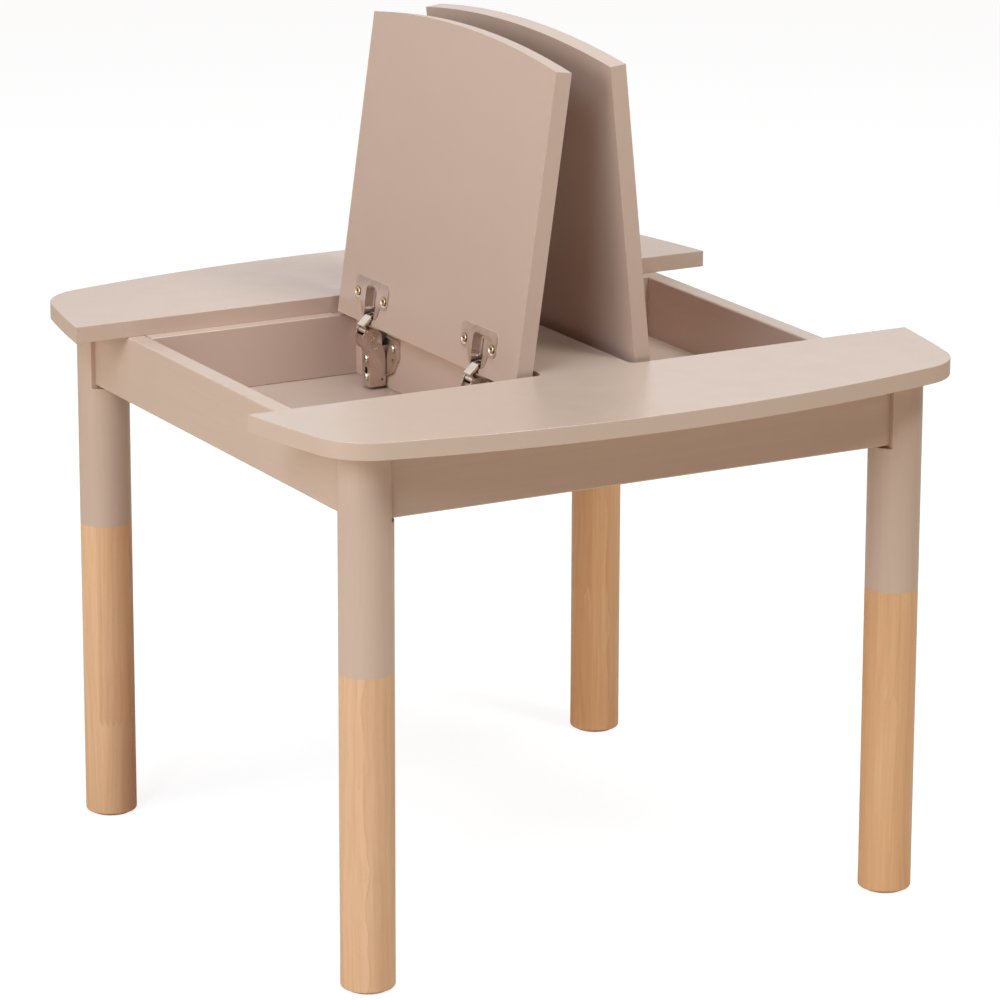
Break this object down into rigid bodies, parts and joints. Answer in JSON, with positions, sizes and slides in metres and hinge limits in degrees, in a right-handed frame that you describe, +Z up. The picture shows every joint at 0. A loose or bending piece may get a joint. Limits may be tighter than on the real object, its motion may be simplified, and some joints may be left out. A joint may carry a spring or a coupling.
{
  "type": "children's storage table",
  "caption": "Low square children's table with bowed sides, round legs and two lids that lift on cup hinges over storage trays.",
  "frame": {"origin": "on the floor, at the centre of the table's footprint", "axes": "+Z up, X across the two lids, Y along the lids' hinge lines, front at -Y"},
  "size_m": [0.689, 0.7158, 0.8074],
  "materials": {
    "taupe_paint": "satin taupe paint on board",
    "beech": "clear-lacquered light beech, painted taupe above the paint line",
    "white_plastic": "moulded glide",
    "zinc_steel": "zinc plated",
    "satin_nickel": "satin nickel plated pressed steel",
    "bright_nickel": "bright nickel plated",
    "brass_plated_steel": "yellow passivated screw"
  },
  "bodies": {
    "table": {"fixed_top": "taupe_paint", "apron_front": "taupe_paint", "apron_back": "taupe_paint", "apron_left": "taupe_paint", "apron_right": "taupe_paint", "box_wall_front": "taupe_paint", "box_wall_back": "taupe_paint", "divider_left": "taupe_paint", "divider_right": "taupe_paint", "storage_floor": "taupe_paint", "leg_front_left": "beech", "leg_front_right": "beech", "leg_back_left": "beech", "leg_back_right": "beech", "foot_glides": "white_plastic", "frame_dowels": "beech", "top_dowels": "beech", "box_dowels": "beech", "floor_screws": "zinc_steel", "corner_brackets": "zinc_steel", "bracket_screws": "zinc_steel", "hanger_bolts": "zinc_steel", "hanger_nuts": "zinc_steel", "hinge_arm_left_front": "satin_nickel", "mounting_plate_left_front": "satin_nickel", "hinge_arm_left_back": "satin_nickel", "mounting_plate_left_back": "satin_nickel", "arm_pins_left": "satin_nickel", "arm_screws_left": "satin_nickel", "plate_screws_left": "satin_nickel", "hinge_arm_right_front": "satin_nickel", "mounting_plate_right_front": "satin_nickel", "hinge_arm_right_back": "satin_nickel", "mounting_plate_right_back": "satin_nickel", "arm_pins_right": "satin_nickel", "arm_screws_right": "satin_nickel", "plate_screws_right": "satin_nickel"},
    "outer_links_left": {"outer_link_left_front": "bright_nickel", "outer_link_left_back": "bright_nickel"},
    "lid_left": {"lid_left": "taupe_paint", "hinge_cup_left_front": "satin_nickel", "hinge_cup_left_back": "satin_nickel", "cup_screws_left": "brass_plated_steel", "cup_pins_left": "satin_nickel"},
    "inner_links_left": {"inner_link_left_front": "satin_nickel", "inner_link_left_back": "satin_nickel"},
    "outer_links_right": {"outer_link_right_front": "bright_nickel", "outer_link_right_back": "bright_nickel"},
    "lid_right": {"lid_right": "taupe_paint", "hinge_cup_right_front": "satin_nickel", "hinge_cup_right_back": "satin_nickel", "cup_screws_right": "brass_plated_steel", "cup_pins_right": "satin_nickel"},
    "inner_links_right": {"inner_link_right_front": "satin_nickel", "inner_link_right_back": "satin_nickel"}
  },
  "joints": [
    {"name": "inner_link_hinge_left", "type": "hinge", "parent": "table", "child": "inner_links_left", "pos_m": [-0.0714, 0, 0.4912], "axis": [0, 1, 0], "range_deg": [0, 28.36]},
    {"name": "lid_hinge_left", "type": "hinge", "parent": "inner_links_left", "child": "lid_left", "pos_m": [-0.06647, 0, 0.51113], "axis": [0, 1, 0], "range_deg": [-126.45, 0]},
    {"name": "outer_link_hinge_left", "type": "hinge", "parent": "lid_left", "child": "outer_links_left", "pos_m": [-0.06236, 0, 0.51307], "axis": [0, 1, 0], "range_deg": [0, 108.57]},
    {"name": "inner_link_hinge_right", "type": "hinge", "parent": "table", "child": "inner_links_right", "pos_m": [0.0714, 0, 0.4912], "axis": [0, -1, 0], "range_deg": [0, 28.63]},
    {"name": "lid_hinge_right", "type": "hinge", "parent": "inner_links_right", "child": "lid_right", "pos_m": [0.06657, 0, 0.51115], "axis": [0, -1, 0], "range_deg": [-124.52, 0]},
    {"name": "outer_link_hinge_right", "type": "hinge", "parent": "lid_right", "child": "outer_links_right", "pos_m": [0.06253, 0, 0.51325], "axis": [0, -1, 0], "range_deg": [0, 107.08]}
  ],
  "couplings": [
    {"joint": "inner_link_hinge_left", "follows": "lid_hinge_left", "ratio": -0.2242},
    {"joint": "outer_link_hinge_left", "follows": "lid_hinge_left", "ratio": -0.85854},
    {"joint": "inner_link_hinge_right", "follows": "lid_hinge_right", "ratio": -0.22986},
    {"joint": "outer_link_hinge_right", "follows": "lid_hinge_right", "ratio": -0.85988}
  ]
}
